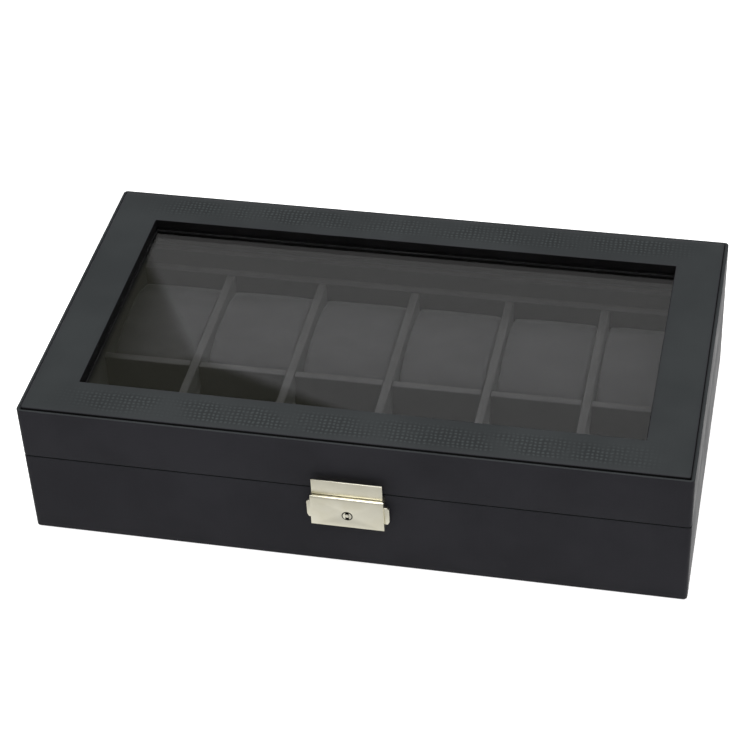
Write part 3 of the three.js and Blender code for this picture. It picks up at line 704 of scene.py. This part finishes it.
def pillow_start(half, seed):
    """A closed pillow a little under size, narrower towards its two side panels."""
    rings, around = 14, 40
    rng = np.random.default_rng(seed)
    lean = rng.uniform(-0.015, 0.015, 2)
    points = []
    for i in range(rings + 1):
        u = -1 + 2 * i / rings
        shrink = 1 - 0.03 * abs(u) ** 3
        for k in range(around):
            half_y, half_z = half[1] * START_SIZE[1] * shrink, half[2] * START_SIZE[2] * shrink
            y, z = stadium(k / around, half_y, half_z)
            points.append((u * half[0] * START_SIZE[0], y * (1 + lean[0] * u), z * (1 + lean[1] * u)))
    faces = [face for i in range(rings) for face in band(i, i + 1, around)]
    faces.append(tuple(range(around))[::-1])
    faces.append(tuple(rings * around + k for k in range(around)))
    return closed_mesh("pillow", points, faces)


def voxeled(mesh, size):
    def add(temp):
        mod = temp.modifiers.new("remesh", "REMESH")
        mod.mode, mod.voxel_size = "VOXEL", size

    return with_modifiers(mesh, add)


def simulate(objects):
    """Swells the given meshes with cloth pressure and keeps the result."""
    rest = {}
    for o in objects:
        rest[o.name] = np.array([v.co for v in o.data.vertices])
        mod = o.modifiers.new("swell", "CLOTH")
        s = mod.settings
        s.use_pressure = True
        s.uniform_pressure_force = PRESSURE
        s.effector_weights.gravity = 0
        s.tension_stiffness = s.compression_stiffness = 15
        s.quality = 5
        mod.point_cache.frame_start, mod.point_cache.frame_end = 1, SWELL_FRAMES
    scene = bpy.context.scene
    for f in range(1, SWELL_FRAMES + 1):
        scene.frame_set(f)
    graph = bpy.context.evaluated_depsgraph_get()
    for o in objects:
        swollen = bpy.data.meshes.new_from_object(o.evaluated_get(graph))
        co = np.array([v.co for v in swollen.vertices])
        move = co - rest[o.name]
        length = np.linalg.norm(move, axis=1, keepdims=True)
        co = rest[o.name] + move * np.minimum(1, MOST_SWELL / np.maximum(length, 1e-9))
        swollen.vertices.foreach_set("co", co.ravel())
        swollen.update()
        o.modifiers.clear()
        o.data = swollen
    scene.frame_set(1)


def tailored(start, half, seed):
    """The swollen form, sampled by rays as a clean grid fitted to half, with its seams sewn in."""
    co = np.array([v.co for v in start.vertices])
    mid = (co.max(0) + co.min(0)) / 2
    size = (co.max(0) - co.min(0)) / 2
    scale = np.array(half) / size
    bm = bmesh.new()
    bm.from_mesh(start)
    for v in bm.verts:
        v.co = Vector((np.array(v.co) - mid) * scale)
    tree = BVHTree.FromBMesh(bm)
    bm.free()
    rng = np.random.default_rng(seed)
    phases = rng.uniform(0, 2 * math.pi, 3)
    around = 72
    reach = half[0] * 0.62
    columns = [(reach * k / 7, 0.0) for k in range(-7, 8)]
    tilts = [6, 12, 18, 22, 25, 27, 28, 29, 31, 34, 40, 48, 58, 70, 80]
    rows = [(-reach, -t) for t in tilts[::-1]] + columns + [(reach, t) for t in tilts]
    points = []
    for x, tilt in rows:
        near = max(0.0, 1 - abs(abs(tilt) - SEAM_TILT) / 2.2)
        for k in range(around):
            a = 2 * math.pi * k / around
            c = math.cos(math.radians(tilt))
            way = Vector((math.sin(math.radians(tilt)), c * math.cos(a), c * math.sin(a)))
            # Rays leave a line along the section's middle, so that its round ends are sampled evenly.
            origin = Vector((x, math.cos(a) * (half[1] - half[2]) * 0.9 * c, 0))
            hit = tree.ray_cast(origin, way)[0]
            if hit is None:
                hit = origin + way * half[2]
            inward = SEAM_DEPTH * near ** 1.5
            beside_seam = max(0.0, 1 - abs(abs(tilt) - SEAM_TILT) / 14)
            pucker = 0.16 * MM * math.sin(15 * a + phases[0]) * beside_seam
            dent = 0.25 * MM * math.sin(2 * a + phases[1] + 60 * x)
            dent += 0.18 * MM * math.sin(3 * a + phases[2] - 90 * x)
            points.append(hit - way * (inward + pucker * 0.6 + abs(dent) * 0.5))
    count = len(rows)
    faces = [face for i in range(count - 1) for face in band(i, i + 1, around)]
    for end, row in ((-1, 0), (1, count - 1)):
        centre = len(points)
        ring = [row * around + k for k in range(around)]
        x_mid = sum(points[i].x for i in ring) / around
        points.append(Vector((x_mid + end * 0.2 * MM, 0, 0)))
        for k in range(around):
            faces.append((ring[k], ring[(k + 1) % around], centre))
    flat = -half[2]
    for p in points:  # its side panels are nearly flat, and it rests flat on the tray's floor
        out = min(1.0, abs(p.x) / half[0])
        p.x = math.copysign(half[0] * out ** 0.5, p.x)
        p.z = max(p.z, flat)
        if p.z < flat + 1.4 * MM:
            p.z = flat + (p.z - flat) * 0.35
    return closed_mesh("cushion", points, faces)


def cushions():
    names = [f"cushion_{row}_{i}" for row in ("front", "back") for i in range(1, 7)]
    soft = []
    for n, name in enumerate(names):
        lo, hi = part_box(name)
        half = (hi - lo) / 2
        half.x += BULGE
        start = voxeled(pillow_start(half, FIRST_PILLOW_SEED + n), VOXEL)
        o = bpy.data.objects.new(f"swelling_{n}", start)
        bpy.context.scene.collection.objects.link(o)
        soft.append((o, name, half, (lo + hi) / 2))
    simulate([o for o, *_ in soft])
    for n, (o, name, half, middle) in enumerate(soft):
        mesh = tailored(o.data, half, FIRST_SEAM_SEED + n)
        mesh.transform(Matrix.Translation(middle))
        bpy.data.objects.remove(o)
        piece = place(name.replace("cushion", "pillow"), mesh, "cushion_velvet", name, smooth_angle=60)


cushions()


# ---- CAD solids that stay -----------------------------------------------------------------------
for name, node in NODES.items():
    if not node.hide_render:  # what is left is the boards, the screws and the hinges' pins
        paint(node, "mdf" if "board" in name else "steel")
        mod = node.modifiers.new("bevel", "BEVEL")
        mod.width, mod.segments, mod.limit_method = 0.15 * MM, 2, "ANGLE"


# ---- floor, light and camera --------------------------------------------------------------------
ABOVE = 0.44  # the world's light from above the horizon
BELOW = (0.58, 1.85)  # and from below it, at the front and at the back
BELOW_SPREAD = 0.8  # how far towards the front and back it keeps changing
FLOOR_GLOW = 0.60  # lifts the floor to white where the box shades it
FLAG_Z, FLAG_REACH = 1.6, 3.0
FLAG_SOFTNESS = 0.014
FLAG_EDGE = ((-0.870, 1.991), (-0.728, 1.752), (-0.557, 1.691))


def add_floor():
    p = Paint("floor", Specular_IOR_Level=0.1)
    p.shader.inputs["Emission Color"].default_value = (1, 1, 1, 1)
    path = p.node("ShaderNodeLightPath")
    glow = p.math("MULTIPLY", path.outputs["Is Camera Ray"], FLOOR_GLOW)
    p.link(glow, p.shader.inputs["Emission Strength"])
    cloud = p.noise(0.5, 2)
    p.colour(p.tint(p.span(cloud, 0.3, 0.7), (0.90, 0.90, 0.90), (0.92, 0.92, 0.915)))
    p.roughness(0.9)
    size = 6.0
    corners = [(-size, -size, 0), (size, -size, 0), (size, size, 0), (-size, size, 0)]
    mesh = mesh_of("floor", corners, [(0, 1, 2, 3)])
    floor = bpy.data.objects.new("floor", mesh)
    bpy.context.scene.collection.objects.link(floor)
    mesh.materials.append(p.material)
    floor.visible_glossy = False  # what it would reflect is the lower half of the world instead


def add_world():
    world = bpy.data.worlds.new("studio")
    world.use_nodes = True
    tree = world.node_tree
    tree.nodes.clear()
    out = tree.nodes.new("ShaderNodeOutputWorld")
    seen = tree.nodes.new("ShaderNodeBackground")
    seen.inputs["Color"].default_value = (1, 1, 1, 1)
    seen.inputs["Strength"].default_value = 1.0
    lit = tree.nodes.new("ShaderNodeBackground")
    lit.inputs["Color"].default_value = (1, 1, 0.99, 1)
    # Above the horizon the light is even. Below it, it is brighter towards the back.
    coords = tree.nodes.new("ShaderNodeTexCoord")
    split = tree.nodes.new("ShaderNodeSeparateXYZ")
    tree.links.new(coords.outputs["Generated"], split.inputs[0])
    below = tree.nodes.new("ShaderNodeMapRange")
    for key, number in zip(RANGE_SOCKETS, (-BELOW_SPREAD, BELOW_SPREAD, *BELOW)):
        below.inputs[key].default_value = number
    tree.links.new(split.outputs["Y"], below.inputs["Value"])
    level = tree.nodes.new("ShaderNodeMix")
    above = tree.nodes.new("ShaderNodeMath")
    above.operation = "GREATER_THAN"
    above.inputs[1].default_value = 0.0
    tree.links.new(split.outputs["Z"], above.inputs[0])
    tree.links.new(above.outputs[0], level.inputs["Factor"])
    tree.links.new(below.outputs[0], level.inputs["A"])
    level.inputs["B"].default_value = ABOVE
    tree.links.new(level.outputs[0], lit.inputs["Strength"])
    path = tree.nodes.new("ShaderNodeLightPath")
    mix = tree.nodes.new("ShaderNodeMixShader")
    tree.links.new(path.outputs["Is Camera Ray"], mix.inputs[0])
    tree.links.new(lit.outputs[0], mix.inputs[1])
    tree.links.new(seen.outputs[0], mix.inputs[2])
    tree.links.new(mix.outputs[0], out.inputs["Surface"])
    bpy.context.scene.world = world


def add_panel(name, place_at, width, height, watts):
    """A soft light of the given size in metres that faces the box."""
    light = bpy.data.lights.new(name, "AREA")
    light.shape, light.size, light.size_y = "RECTANGLE", width, height
    light.energy = watts
    panel = bpy.data.objects.new(name, light)
    bpy.context.scene.collection.objects.link(panel)
    panel.location = place_at
    panel.rotation_euler = (-Vector(place_at)).to_track_quat("-Z", "Y").to_euler()
    panel.visible_camera = False


def add_flag():
    """A dim panel out of view, whose soft edge shows as a slanting reflection in the window."""
    z, reach, softness = FLAG_Z, FLAG_REACH, FLAG_SOFTNESS
    p = Paint("flag", Specular_IOR_Level=0.0, Base_Color=(0, 0, 0, 1), Emission_Strength=1.0)
    p.shader.inputs["Emission Color"].default_value = (0.135, 0.135, 0.105, 1)
    clear = p.node("ShaderNodeBsdfTransparent")
    mix = p.node("ShaderNodeMixShader")
    split = p.node("ShaderNodeSeparateXYZ")
    p.link(p.coords.outputs["Object"], split.inputs[0])
    sides = []
    for a, b in zip(FLAG_EDGE, FLAG_EDGE[1:]):
        along = Vector((b[0] - a[0], b[1] - a[1])).normalized()
        inward = Vector((along.y, -along.x))  # towards the dim side of this edge
        partial = p.math("MULTIPLY_ADD", split.outputs["X"], inward.x, -inward.dot(Vector(a)))
        within = p.math("MULTIPLY_ADD", split.outputs["Y"], inward.y, partial)
        sides.append(p.span(within, -softness, softness))
    cover = p.math("MAXIMUM", *sides)
    cover = p.math("MULTIPLY", cover, p.span(split.outputs["X"], -0.30, -0.42))
    p.link(cover, mix.inputs[0])
    p.link(clear.outputs[0], mix.inputs[1])
    p.link(p.shader.outputs[0], mix.inputs[2])
    p.link(mix.outputs[0], p.output.inputs["Surface"])
    corners = [(-reach, 0.9, z), (0, 0.9, z), (0, reach, z), (-reach, reach, z)]
    mesh = mesh_of("flag", corners, [(0, 1, 2, 3)])
    mesh.materials.append(p.material)
    flag = bpy.data.objects.new("flag", mesh)
    bpy.context.scene.collection.objects.link(flag)
    flag.visible_camera = flag.visible_diffuse = flag.visible_shadow = False


add_floor()
add_world()
add_panel("top_softbox", (0.0, 0.10, 1.7), 1.4, 1.4, 23)
add_panel("front_softbox", (0.1, -0.95, 1.7), 1.2, 0.8, 8)
add_flag()

CAMERA_AT = (0.2059, -0.8777, 0.7939)
CAMERA_RIGHT = (0.97860, 0.20160, -0.04129)
CAMERA_UP = (-0.09799, 0.63293, 0.76799)
CAMERA_BACK = (0.18096, -0.74750, 0.63913)
LENS, SENSOR = 107.63, 36

camera_data = bpy.data.cameras.new("camera")
camera_data.lens = LENS
camera_data.sensor_width = SENSOR
camera_data.clip_start = 0.01
camera = bpy.data.objects.new("camera", camera_data)
bpy.context.scene.collection.objects.link(camera)
turned = Matrix((CAMERA_RIGHT, CAMERA_UP, CAMERA_BACK)).transposed().to_4x4()
camera.matrix_world = Matrix.Translation(CAMERA_AT) @ turned
bpy.context.scene.camera = camera
bpy.context.scene.view_settings.view_transform = "Standard"
